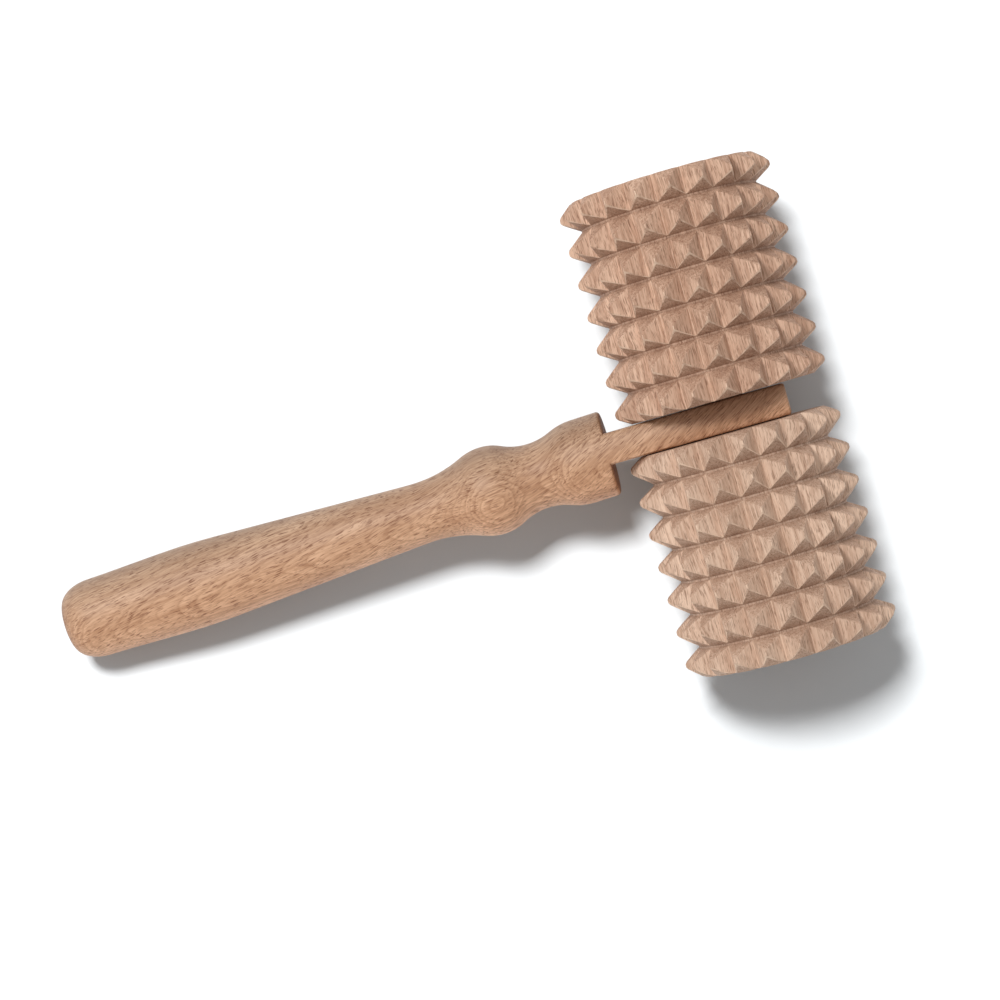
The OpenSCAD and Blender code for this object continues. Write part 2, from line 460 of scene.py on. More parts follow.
def marks_and_painted_light_group() -> Tree:
    """Builds the group that marks a surface: edges turn pale, partly worn and partly a painted highlight, groove
    floors darken as painted shade, and end grain turns dark.

    Returns:
        The node group, which puts out the marked colour, with its painted shade and highlight, and the two masks.
    """
    tree, given, out = group_tree(
        "handling", "ShaderNodeTree",
        [
            ("Color", "NodeSocketColor", srgb(200, 160, 130)),
            ("Vector", "NodeSocketVector", None),
            ("Wear", "NodeSocketFloat", 0.0),
            ("Grime", "NodeSocketFloat", 0.0),
            ("End Grain", "NodeSocketFloat", 0.0),
            # the pale colour of worn edges and of the painted highlight
            ("Rubbed", "NodeSocketColor", srgb(232, 202, 176)),
            # the dark colour of the painted shade in the groove floors
            ("Soiled", "NodeSocketColor", srgb(92, 56, 36)),
            ("Open Pores", "NodeSocketColor", srgb(120, 78, 54)),
            ("Wear Strength", "NodeSocketFloat", 0.5),
            ("Grime Strength", "NodeSocketFloat", 0.5),
            ("End Strength", "NodeSocketFloat", 0.5),
        ],
        [("Color", "NodeSocketColor"), ("Wear Mask", "NodeSocketFloat"), ("Grime Mask", "NodeSocketFloat")],
    )
    patchy = ramp(tree, noise(tree, given.outputs["Vector"], 0.35, 3.0, 0.6), 0.3, 0.65)
    # Pale edges: worn, and a painted highlight on one edge row
    rub_and_highlight = maths(tree, "MULTIPLY", maths(tree, "MULTIPLY", given.outputs["Wear"], patchy),
                given.outputs["Wear Strength"], clamp=True)
    # Painted shade: the groove floors darkened, a little patchy
    groove_shading = maths(tree, "MULTIPLY", maths(tree, "MULTIPLY", given.outputs["Grime"],
                                         maths(tree, "MULTIPLY_ADD", patchy, 0.4, 0.6)),
                 given.outputs["Grime Strength"], clamp=True)
    dots = ramp(tree, noise(tree, given.outputs["Vector"], 2.6, 2.0, 0.7), 0.3, 0.7)
    drunk = maths(tree, "MULTIPLY", maths(tree, "MULTIPLY", given.outputs["End Grain"],
                                          maths(tree, "MULTIPLY_ADD", dots, 0.5, 0.6)),
                  given.outputs["End Strength"], clamp=True)
    colour = blend(tree, drunk, given.outputs["Color"], given.outputs["Open Pores"])
    colour = blend(tree, rub_and_highlight, colour, given.outputs["Rubbed"])
    colour = blend(tree, groove_shading, colour, given.outputs["Soiled"])
    plug(tree, colour, out.inputs["Color"])
    plug(tree, rub_and_highlight, out.inputs["Wear Mask"])
    plug(tree, groove_shading, out.inputs["Grime Mask"])
    return tree


@dataclass(frozen=True)
class BeechFinish:
    """How one piece of beech was cut from the tree, what colour it has, and the painted shade and highlight on it.
    """

    name: str
    pale: tuple[float, float, float, float]
    deep: tuple[float, float, float, float]
    fleck: tuple[float, float, float, float]
    pith: tuple[float, float, float]
    ring_width: float = 2.6
    ring_strength: float = 0.5
    fleck_size: float = 1.0
    fleck_strength: float = 0.8
    streak_strength: float = 0.4
    drift: float = 0.0
    late_drift: float = 0.0
    drift_start: float = 0.0
    dive: float = 0.0
    roughness: float = 0.55
    bump: float = 0.25
    bump_depth: float = 0.12 * MM
    # how strong the pale edges are: worn, and a painted highlight
    wear: float = 0.0
    # how strong the painted shade in the groove floors is
    grime: float = 0.0
    end_grain: float = 0.0
    sheen_coat: float = 0.0
    # painted shade: the tint for the side that faces the soft box, and the way it grows for each millimetre
    side_shade: tuple[float, float, float, float] = (1.0, 1.0, 1.0, 1.0)
    side_shade_way: tuple[float, float, float] = (0.0, 0.0, 0.0)

    def material(self, figure: Tree, handling: Tree, place: Matrix) -> bpy.types.Material:
        """Builds this finish as a material.

        Args:
            figure: the group that draws beech's figure.
            handling: the group that adds worn edges, end grain, painted shade and a painted highlight.
            place: the frame that the piece was turned in, with its grain along X.

        Returns:
            The material.
        """
        made = bpy.data.materials.new(self.name)
        made.use_nodes = True
        tree = made.node_tree
        shader = tree.nodes["Principled BSDF"]
        back = place.inverted()
        turned = node_of(tree, "ShaderNodeMapping", vector_type="POINT")
        plug(tree, node_of(tree, "ShaderNodeTexCoord").outputs["Object"], turned.inputs["Vector"])
        turned.inputs["Rotation"].default_value = back.to_euler()
        turned.inputs["Scale"].default_value = (1 / MM, 1 / MM, 1 / MM)
        turned.inputs["Location"].default_value = back.to_translation() / MM
        wood = node_of(tree, "ShaderNodeGroup", node_tree=figure)
        plug(tree, turned.outputs[0], wood.inputs["Vector"])
        for label, value in (("Pale", self.pale), ("Deep", self.deep), ("Fleck", self.fleck),
                             ("Ring Width", self.ring_width), ("Ring Strength", self.ring_strength),
                             ("Fleck Size", self.fleck_size), ("Fleck Strength", self.fleck_strength),
                             ("Streak Strength", self.streak_strength), ("Drift", self.drift),
                             ("Late Drift", self.late_drift), ("Drift Start", self.drift_start),
                             ("Dive", self.dive), ("Pith", self.pith), ("Heart", self.side_shade),
                             ("Heart Way", self.side_shade_way)):
            wood.inputs[label].default_value = value
        colour = wood.outputs["Color"]
        # Worn edges and end grain, with the painted shade of the groove floors and the painted highlight on one
        # edge row
        if self.wear or self.grime or self.end_grain:
            marked_and_shaded = node_of(tree, "ShaderNodeGroup", node_tree=handling)
            plug(tree, colour, marked_and_shaded.inputs["Color"])
            plug(tree, turned.outputs[0], marked_and_shaded.inputs["Vector"])
            for label, name, power in (("Wear", WEAR_AND_HIGHLIGHT, 1.0), ("Grime", GROOVE_SHADE, 4.0), ("End Grain", END_GRAIN, 1.0)):
                mark = node_of(tree, "ShaderNodeAttribute", attribute_name=name)
                plug(tree, maths(tree, "POWER", mark.outputs["Fac"], power), marked_and_shaded.inputs[label])
            marked_and_shaded.inputs["Wear Strength"].default_value = self.wear
            marked_and_shaded.inputs["Grime Strength"].default_value = self.grime
            marked_and_shaded.inputs["End Strength"].default_value = self.end_grain
            colour = marked_and_shaded.outputs["Color"]
        plug(tree, colour, shader.inputs["Base Color"])
        rough = maths(tree, "MULTIPLY_ADD", wood.outputs["Fleck Mask"], 0.15, self.roughness, clamp=True)
        plug(tree, rough, shader.inputs["Roughness"])
        shader.inputs["Specular IOR Level"].default_value = 0.35
        shader.inputs["Coat Weight"].default_value = self.sheen_coat
        shader.inputs["Coat Roughness"].default_value = 0.45
        relief = node_of(tree, "ShaderNodeBump")
        relief.inputs["Strength"].default_value = self.bump
        relief.inputs["Distance"].default_value = self.bump_depth
        plug(tree, wood.outputs["Height"], relief.inputs["Height"])
        plug(tree, relief.outputs[0], shader.inputs["Normal"])
        return made


# --------------------------------------------------------------------------- handle


@dataclass
class Handle:
    """The turned handle with its milled tang, and the dowel glued through it.

    Lengths are in metres, in the handle's own frame: the middle of the dowel is the origin, X runs towards the
    tang's end and Z is up. The turned part is skewed a little from the tang.
    """

    axle: Vector
    butt_axis: Vector
    body: str = "handle_and_axle"
    collar_r: float = 12.85 * MM
    tang_half: float = 4.7 * MM
    tang_past_axle: float = 18.4 * MM
    shoulder_at: float = 36.65 * MM
    glued_bore_r: float = 6.05 * MM
    long_edge: float = 0.45 * MM
    end_edge: float = 0.9 * MM
    shoulder_edge: float = 1.1 * MM
    strip_steps: int = 12
    cheek_steps: int = 30
    side_steps: int = 12
    ring_gap: float = 2.5 * MM
    points: list[Vector] = field(default_factory=list)
    faces: list[tuple[int, ...]] = field(default_factory=list)

    def __post_init__(self) -> None:
        """Works out the handle's tilt and skew from the way its butt faces."""
        self.skew = math.asin(-self.butt_axis.y)
        self.tilt = math.atan2(-self.butt_axis.z, -self.butt_axis.x)
        self.along = Vector((-math.cos(self.skew), -math.sin(self.skew), 0))
        self.aside = Vector((-math.sin(self.skew), math.cos(self.skew), 0))
        self.place = Matrix.Translation(self.axle) @ Matrix.Rotation(-self.tilt, 4, "Y")

    def turned_outline(self, node: bpy.types.Object) -> list[tuple[float, float]]:
        """Reads the turned outline behind the collar from the handle's CAD mesh.

        Args:
            node: the handle's CAD node.

        Returns:
            (distance along the axis, radius) from the collar's end to the butt, no further apart than ring_gap.
        """
        back = self.place.inverted()
        found: dict[int, tuple[float, float]] = {}
        for vertex in node.data.vertices:
            local = back @ vertex.co
            distance = local.dot(self.along)
            radius = (local - distance * self.along).length
            if distance > self.shoulder_at + 2 * MM and radius > 4 * MM:
                found[round(distance / (0.05 * MM))] = (distance, radius)
        rings = [found[key] for key in sorted(found)]
        outline = [rings[0]]
        for ring in rings[1:]:
            last = outline[-1]
            steps = max(1, math.ceil((ring[0] - last[0]) / self.ring_gap))
            outline += [(last[0] + (ring[0] - last[0]) * i / steps, last[1] + (ring[1] - last[1]) * i / steps)
                        for i in range(1, steps + 1)]
        return outline

    def surface_z(self, x: float, y: float) -> float:
        """Gives the height of the collar's cylinder over a point of the tang."""
        aside = self.aside.dot(Vector((x, y, 0)))
        return math.sqrt(max(0.0, self.collar_r ** 2 - aside ** 2))

    def add_loop(self, loop: list[Vector]) -> list[int]:
        """Adds points and returns their indices."""
        start = len(self.points)
        self.points += loop
        return list(range(start, start + len(loop)))

    def strip(self, x: float, flip: int) -> list[Vector]:
        """Gives the tang's top or bottom at x, from one long edge to the other.

        Args:
            x: the place along the tang.
            flip: 1 for the top, from -Y to +Y, and -1 for the bottom, from +Y to -Y.

        Returns:
            The points of the strip.
        """
        half = self.tang_half - self.long_edge
        across = [flip * half * (2 * i / self.strip_steps - 1) for i in range(self.strip_steps + 1)]
        return [Vector((x, y, flip * self.surface_z(x, y))) for y in across]

    def side(self, x: float, flip: int) -> list[Vector]:
        """Gives the tang's side at x: +Y downwards for flip 1, or -Y upwards for flip -1."""
        y = flip * self.tang_half
        top = self.surface_z(x, y) - self.long_edge
        return [Vector((x, y, flip * top * (1 - 2 * i / self.side_steps))) for i in range(self.side_steps + 1)]

    def tang_loop(self, x: float, inset: float = 0.0) -> list[Vector]:
        """Gives the whole outline of the tang at x, taken in by inset."""
        loop = self.strip(x, 1) + self.side(x, 1) + self.strip(x, -1) + self.side(x, -1)
        half, high = self.tang_half, self.collar_r
        return [Vector((p.x, p.y * (1 - inset / half), p.z * (1 - inset / high))) for p in loop]

    def cheek(self, x: float, flip: int, radius: float) -> list[Vector]:
        """Gives the collar's rim beside the tang at x, between the tang's two strips.

        Args:
            x: the place along the tang.
            flip: 1 for the +Y side, downwards, and -1 for the -Y side, upwards.
            radius: the rim's radius.

        Returns:
            The points of the rim, without those of the strips.
        """
        edge = Vector((x, flip * (self.tang_half - self.long_edge), 0))
        start = math.asin(self.aside.dot(edge) / self.collar_r * flip)
        angles = [start + (math.pi - 2 * start) * i / self.cheek_steps for i in range(1, self.cheek_steps)]
        found = []
        for angle in angles:
            aside = flip * radius * math.sin(angle)
            y = (aside + math.sin(self.skew) * x) / math.cos(self.skew)
            found.append(Vector((x, y, flip * radius * math.cos(angle))))
        return found

    def collar_loop(self, x: float, inset: float) -> list[Vector]:
        """Gives a loop of the collar square to the tang, with the cheeks taken in by inset."""
        radius = self.collar_r - inset
        return (self.strip(x, 1) + self.cheek(x, 1, radius) + self.strip(x, -1) + self.cheek(x, -1, radius))

    def build(self, node: bpy.types.Object) -> bpy.types.Object:
        """Builds the handle's mesh.

        Args:
            node: the handle's CAD node.

        Returns:
            The handle, in place.
        """
        # The tang, from its end back to the shoulders
        end, soft = self.tang_past_axle, self.end_edge
        first = self.add_loop(self.tang_loop(end, soft))
        self.faces.append(tuple(first))
        last = first
        round_steps = 4
        for i in range(1, round_steps + 1):
            angle = math.pi / 2 * i / round_steps
            loop = self.add_loop(self.tang_loop(end - soft * (1 - math.cos(angle)), soft * (1 - math.sin(angle))))
            self.faces += bridge(last, loop)
            last = loop
        length = self.shoulder_at + end - soft
        steps = math.ceil(length / self.ring_gap)
        for i in range(1, steps + 1):
            loop = self.add_loop(self.tang_loop(end - soft - length * i / steps))
            self.faces += bridge(last, loop)
            last = loop
        tang_root = last

        # The collar's rim, and the two shoulders between it and the tang's sides
        rim = self.add_loop(self.collar_loop(-self.shoulder_at, self.shoulder_edge))
        wide, tall, arc = self.strip_steps + 1, self.side_steps + 1, self.cheek_steps - 1
        for flip in (0, 1):
            strip_at = flip * (wide + tall)
            rim_at = flip * (wide + arc)
            rim_part = [rim[(rim_at + wide - 1 + i) % len(rim)] for i in range(arc + 2)]
            side_part = [tang_root[strip_at + wide + i] for i in range(tall)]
            self.faces.append(tuple(rim_part + side_part[::-1]))
        last = rim
        for i in range(1, round_steps + 1):
            angle = math.pi / 2 * i / round_steps
            x = -self.shoulder_at - self.shoulder_edge * (1 - math.cos(angle))
            loop = self.add_loop(self.collar_loop(x, self.shoulder_edge * (1 - math.sin(angle))))
            self.faces += bridge(last, loop)
            last = loop

        # The turned part, on the same columns
        turns = [math.atan2(self.points[i].dot(self.aside), self.points[i].z) for i in last]
        for distance, radius in self.turned_outline(node):
            centre = distance * self.along
            loop = self.add_loop([centre + radius * (math.sin(a) * self.aside + math.cos(a) * Vector((0, 0, 1)))
                                  for a in turns])
            self.faces += bridge(last, loop)
            last = loop
        self.faces.append(tuple(last))

        made = mesh_object("turned_handle", self.points, self.faces)
        self.bore(made)
        ends = made.data.attributes.new(END_GRAIN, "FLOAT", "POINT")
        ends.data.foreach_set("value", [abs(v.normal.dot(self.along)) ** 3 for v in made.data.vertices])
        made.data.transform(self.place)
        shade(made.data, 38)
        return made

    def bore(self, made: bpy.types.Object) -> None:
        """Drills the dowel's bore through the tang.

        Args:
            made: the handle's object, in the handle's own frame.
        """
        half = 2 * self.tang_half
        drill = lathe("drill", [(0, -half), (self.glued_bore_r, -half), (self.glued_bore_r, half), (0, half)],
                      even_turns(64))
        cut = made.modifiers.new("bore", "BOOLEAN")
        cut.operation = "DIFFERENCE"
        cut.object = drill
        cut.solver = "EXACT"
        shown = bpy.context.evaluated_depsgraph_get()
        shown.update()
        mesh = bpy.data.meshes.new_from_object(made.evaluated_get(shown))
        made.modifiers.remove(cut)
        made.data = mesh
        bpy.data.objects.remove(drill)


# --------------------------------------------------------------------------- rollers


@dataclass
class SpikeCut:
    """The shape that the two sets of grooves leave: one spike, from groove to groove. In metres."""

    tip_r: float
    ring_floor_r: float
    long_floor_r: float
    pitch: float = 10 * MM
    spikes: int = 20
    floor_width: float = 0.55 * MM
    tip_length: float = 1.8 * MM
    tip_width: float = 0.3 * MM
    tip_lean: float = 0.5 * MM
    soft_edge: float = 0.17 * MM
    soft_tip: float = 0.38 * MM
    valley_width: float = 0.26 * MM
    # the edge row that gets the painted highlight: beside the wall that faces -Y, away from the soft box
    highlit_row: int = 2

    def __post_init__(self) -> None:
        """Works out where the columns of the spike's mesh stand, in radians from its tip."""
        self.half = math.pi / self.spikes
        self.tip_angle = math.asin(self.tip_width / 2 / self.tip_r)
        self.valley_angle = self.half - self.valley_width / 2 / self.long_floor_r
        right = [self.tip_angle, self.half / 2, self.valley_angle, self.half]
        self.columns = [-a for a in right[::-1]] + right
        self.tip_start = self.pitch / 2 - self.tip_lean - self.tip_length / 2
        self.tip_end = self.tip_start + self.tip_length

    def groove_r(self, angle: float) -> float:
        """Gives the radius that the lengthwise grooves leave at an angle from the tip."""
        turn = min(abs(angle), self.valley_angle)
        low = self.long_floor_r * Vector((math.sin(self.half), math.cos(self.half)))
        high = self.tip_r * Vector((math.sin(self.tip_angle), math.cos(self.tip_angle)))
        run = high - low
        way = Vector((math.sin(turn), math.cos(turn)))
        return (low.x * run.y - low.y * run.x) / (way.x * run.y - way.y * run.x)

    def near_wall_r(self, y: float) -> float:
        """Gives the radius of the wall that rises from the floor, at a distance from the floor's middle."""
        share = (y - self.floor_width / 2) / (self.tip_start - self.floor_width / 2)
        return self.ring_floor_r + share * (self.tip_r - self.ring_floor_r)

    def far_wall_r(self, y: float) -> float:
        """Gives the radius of the wall that falls to the next floor."""
        end = self.pitch - self.floor_width / 2
        return self.ring_floor_r + (y - end) / (self.tip_end - end) * (self.tip_r - self.ring_floor_r)

    def column(self, angle: float, low: float, high: float) -> list[tuple[float, float, float]]:
        """Gives one column of the spike's mesh.

        Args:
            angle: the column's angle from the tip.
            low: where the spike's cell is cut off at its start, or 0.
            high: where it is cut off at its end, or the pitch.

        Returns:
            (y, radius, shade) of each point, from the floor before the spike to the one after it; the third value
            is the painted shade of the groove floor.
        """
        top = self.groove_r(angle)
        share = (top - self.ring_floor_r) / (self.tip_r - self.ring_floor_r)
        foot, heel = self.floor_width / 2, self.pitch - self.floor_width / 2
        up = foot + share * (self.tip_start - foot)
        down = heel + share * (self.tip_end - heel)
        soft = self.soft_tip if abs(angle) <= self.tip_angle else self.soft_edge
        soft = min(soft, 0.4 * (up - foot))
        # The third value of each point darkens the groove floor: painted shade.
        found = [
            (foot - self.floor_width, self.ring_floor_r, 1.0),
            (foot, self.ring_floor_r, 0.9),
            (up - soft, self.near_wall_r(up - soft), 0.0),
            (up + soft, top, 0.0),
            (down - soft, top, 0.0),
            (down + soft, self.far_wall_r(down + soft), 0.0),
            (heel, self.ring_floor_r, 0.9),
        ]
        if low:
            face_r = min(top, self.near_wall_r(low))
            found = [(low, face_r, 0.0) if y < low else (y, radius, grime) for y, radius, grime in found]
        if high < self.pitch:
            face_r = min(top, self.far_wall_r(high))
            found = [(high, face_r, 0.0) if y > high else (y, radius, grime) for y, radius, grime in found]
        return found

    def tile(self, name: str, low: float, high: float) -> bpy.types.Object:
        """Builds the mesh of one spike round the Y axis, with its tip over the origin.

        Args:
            name: the name of the object.
            low: where the spike's cell is cut off at its start, or 0.
            high: where it is cut off at its end, or the pitch.

        Returns:
            The spike's object, with two attributes: pale edges, partly worn and partly a painted highlight, and the
            painted shade of its groove floors.
        """
        rows = [self.column(angle, low, high) for angle in self.columns]
        tall = len(rows[0])
        mesh = bpy.data.meshes.new(name)
        points = [(r * math.sin(a), y, r * math.cos(a)) for a, row in zip(self.columns, rows)
                  for y, r, _ in row]
        cells = [(c, i) for c in range(len(rows) - 1) for i in range(tall - 1)]
        mesh.from_pydata(points, [], [(c * tall + i, (c + 1) * tall + i, (c + 1) * tall + i + 1, c * tall + i + 1)
                                      for c, i in cells])
        # The painted shade of the groove floors, for each point
        grime = mesh.attributes.new(GROOVE_SHADE, "FLOAT", "POINT")
        grime.data.foreach_set("value", [point[2] for row in rows for point in row])
        # Worn tips and valleys, and the painted highlight on one edge row, for each face
        wear = mesh.attributes.new(WEAR_AND_HIGHLIGHT, "FLOAT", "FACE")
        wear.data.foreach_set("value", [self.cell_wear_and_highlight(c, i) for c, i in cells])
        made = bpy.data.objects.new(name, mesh)
        bpy.context.scene.collection.objects.link(made)
        return made

    def cell_wear_and_highlight(self, column: int, row: int) -> float:
        """Gives the pale mark of one face: full on the highlit edge row, which is a painted highlight, nearly so on
        the tip and less down the valley, where it is worn.
        """
        crest, valleys = len(self.columns) // 2 - 1, (0, len(self.columns) - 2)
        if row == self.highlit_row and column not in valleys:
            return 1.0
        if row == 3 and column == crest:
            return 0.9
        return 0.5 if row == 3 and column in valleys else 0.0

    def rim(self, low: float, high: float, at_end: bool) -> list[float]:
        """Gives the radius of a cut-off end at each column of one spike but the last."""
        point = -1 if at_end else 0
        return [self.column(angle, low, high)[point][1] for angle in self.columns[:-1]]


def spiked_roller_tree() -> Tree:
    """Builds the Geometry Nodes tree that sets spikes in rows round a roller's core.

    Returns:
        The tree. Its inputs are the two spikes, the core, the sizes of the pattern and the roller's place.
    """
    tree, given, out = group_tree(
        "spiked_roller", "GeometryNodeTree",
        [
            ("First Spike", "NodeSocketObject", None),
            ("Middle Spike", "NodeSocketObject", None),
            ("Last Spike", "NodeSocketObject", None),
            ("Core", "NodeSocketObject", None),
            ("Rows", "NodeSocketInt", 7),
            ("Spikes Round", "NodeSocketInt", 20),
            ("Row Pitch", "NodeSocketFloat", 0.01),
            ("First Row", "NodeSocketFloat", 0.004),
            ("Spike Turn", "NodeSocketFloat", 0.0),
            ("Half Turn", "NodeSocketFloat", 0.0),
            ("Axle", "NodeSocketVector", (0.0, 0.0, 0.0)),
            ("Hand Cut", "NodeSocketFloat", 0.0002),
            ("Firm Radius", "NodeSocketFloat", 0.027),
            ("Firm Start", "NodeSocketFloat", 0.005),
            ("Firm End", "NodeSocketFloat", 0.07),
            ("Seed", "NodeSocketFloat", 0.0),
            ("Material", "NodeSocketMaterial", None),
        ],
        [("Geometry", "NodeSocketGeometry")],
    )

    def shape(label: str) -> Socket:
        """Reads one of the shapes that the tree is given."""
        info = node_of(tree, "GeometryNodeObjectInfo", transform_space="ORIGINAL")
        plug(tree, given.outputs[label], info.inputs["Object"])
        return info.outputs["Geometry"]

    def combine(x: Socket | float, y: Socket | float, z: Socket | float) -> Socket:
        """Makes a vector of three values."""
        made = node_of(tree, "ShaderNodeCombineXYZ")
        for value, target in zip((x, y, z), made.inputs):
            plug(tree, value, target)
        return made.outputs[0]

    def both_true(first: Socket, second: Socket) -> Socket:
        """Tells where two conditions hold at once."""
        made = node_of(tree, "FunctionNodeBooleanMath", operation="AND")
        plug(tree, first, made.inputs[0])
        plug(tree, second, made.inputs[1])
        return made.outputs[0]

    # One column of spikes along the roller, the first and last of them trimmed
    line = node_of(tree, "GeometryNodeMeshLine", mode="OFFSET")
    plug(tree, given.outputs["Rows"], line.inputs["Count"])
    plug(tree, combine(0.0, given.outputs["First Row"], 0.0), line.inputs["Start Location"])
    plug(tree, combine(0.0, given.outputs["Row Pitch"], 0.0), line.inputs["Offset"])
    index = node_of(tree, "GeometryNodeInputIndex").outputs[0]
    last_index = maths(tree, "SUBTRACT", given.outputs["Rows"], 1.0)
    first_row = maths(tree, "LESS_THAN", index, 0.5)
    last_row = maths(tree, "GREATER_THAN", maths(tree, "ADD", index, 0.5), last_index)
    middle_row = maths(tree, "SUBTRACT", 1.0, maths(tree, "ADD", first_row, last_row))
    column = node_of(tree, "GeometryNodeJoinGeometry")
    for label, chosen in (("First Spike", first_row), ("Middle Spike", middle_row), ("Last Spike", last_row)):
        set_here = node_of(tree, "GeometryNodeInstanceOnPoints")
        plug(tree, line.outputs[0], set_here.inputs["Points"])
        plug(tree, shape(label), set_here.inputs["Instance"])
        plug(tree, chosen, set_here.inputs["Selection"])
        plug(tree, set_here.outputs[0], column.inputs[0])

    # That column, round and round
    spokes = node_of(tree, "GeometryNodeMeshLine", mode="OFFSET")
    plug(tree, given.outputs["Spikes Round"], spokes.inputs["Count"])
    spokes.inputs["Offset"].default_value = (0.0, 0.0, 0.0)
    step = maths(tree, "DIVIDE", 2 * math.pi, given.outputs["Spikes Round"])
    turn = combine(0.0, maths(tree, "MULTIPLY", index, step), 0.0)
    round_it = node_of(tree, "GeometryNodeInstanceOnPoints")
    plug(tree, spokes.outputs[0], round_it.inputs["Points"])
    plug(tree, column.outputs[0], round_it.inputs["Instance"])
    plug(tree, turn, round_it.inputs["Rotation"])

    # With the core, as one skin
    both = node_of(tree, "GeometryNodeJoinGeometry")
    plug(tree, round_it.outputs[0], both.inputs[0])
    plug(tree, shape("Core"), both.inputs[0])
    real = node_of(tree, "GeometryNodeRealizeInstances")
    plug(tree, both.outputs[0], real.inputs[0])
    skin = node_of(tree, "GeometryNodeMergeByDistance")
    plug(tree, real.outputs[0], skin.inputs["Geometry"])
    skin.inputs["Distance"].default_value = 0.004 * MM

    # End grain shows on what faces along the roller
    facing = node_of(tree, "ShaderNodeSeparateXYZ")
    plug(tree, node_of(tree, "GeometryNodeInputNormal").outputs[0], facing.inputs[0])
    ends = node_of(tree, "GeometryNodeStoreNamedAttribute", data_type="FLOAT", domain="FACE")
    plug(tree, skin.outputs[0], ends.inputs["Geometry"])
    ends.inputs["Name"].default_value = END_GRAIN
    plug(tree, maths(tree, "ABSOLUTE", facing.outputs["Y"]), ends.inputs["Value"])

    # Cut and worn by hand: no two spikes are quite alike
    where = node_of(tree, "GeometryNodeInputPosition").outputs[0]
    moved = vector_maths(tree, "ADD", where, combine(given.outputs["Seed"], 0.0, 0.0)).outputs[0]
    rough = node_of(tree, "ShaderNodeTexNoise")
    plug(tree, moved, rough.inputs["Vector"])
    rough.inputs["Scale"].default_value = 260.0
    rough.inputs["Detail"].default_value = 2.0
    centred = vector_maths(tree, "SUBTRACT", rough.outputs["Color"], (0.5, 0.5, 0.5)).outputs[0]
    small = node_of(tree, "ShaderNodeVectorMath", operation="SCALE")
    plug(tree, centred, small.inputs[0])
    plug(tree, given.outputs["Hand Cut"], small.inputs["Scale"])
    spot = node_of(tree, "ShaderNodeSeparateXYZ")
    plug(tree, where, spot.inputs[0])
    across = vector_maths(tree, "LENGTH", combine(spot.outputs["X"], 0.0, spot.outputs["Z"])).outputs["Value"]
    inside = both_true(maths(tree, "GREATER_THAN", spot.outputs["Y"], given.outputs["Firm Start"]),
                       maths(tree, "LESS_THAN", spot.outputs["Y"], given.outputs["Firm End"]))
    loose = both_true(maths(tree, "GREATER_THAN", across, given.outputs["Firm Radius"]), inside)
    uneven = node_of(tree, "GeometryNodeSetPosition")
    plug(tree, ends.outputs[0], uneven.inputs["Geometry"])
    plug(tree, loose, uneven.inputs["Selection"])
    plug(tree, small.outputs[0], uneven.inputs["Offset"])

    # On to its place on the axle
    spin = node_of(tree, "GeometryNodeTransform")
    plug(tree, uneven.outputs[0], spin.inputs["Geometry"])
    plug(tree, combine(0.0, given.outputs["Spike Turn"], 0.0), spin.inputs["Rotation"])
    seat = node_of(tree, "GeometryNodeTransform")
    plug(tree, spin.outputs[0], seat.inputs["Geometry"])
    plug(tree, combine(0.0, 0.0, given.outputs["Half Turn"]), seat.inputs["Rotation"])
    plug(tree, given.outputs["Axle"], seat.inputs["Translation"])
    final = node_of(tree, "GeometryNodeRealizeInstances")
    plug(tree, seat.outputs[0], final.inputs[0])
    dress = node_of(tree, "GeometryNodeSetMaterial")
    plug(tree, final.outputs[0], dress.inputs["Geometry"])
    plug(tree, given.outputs["Material"], dress.inputs["Material"])
    plug(tree, dress.outputs[0], out.inputs[0])
    return tree


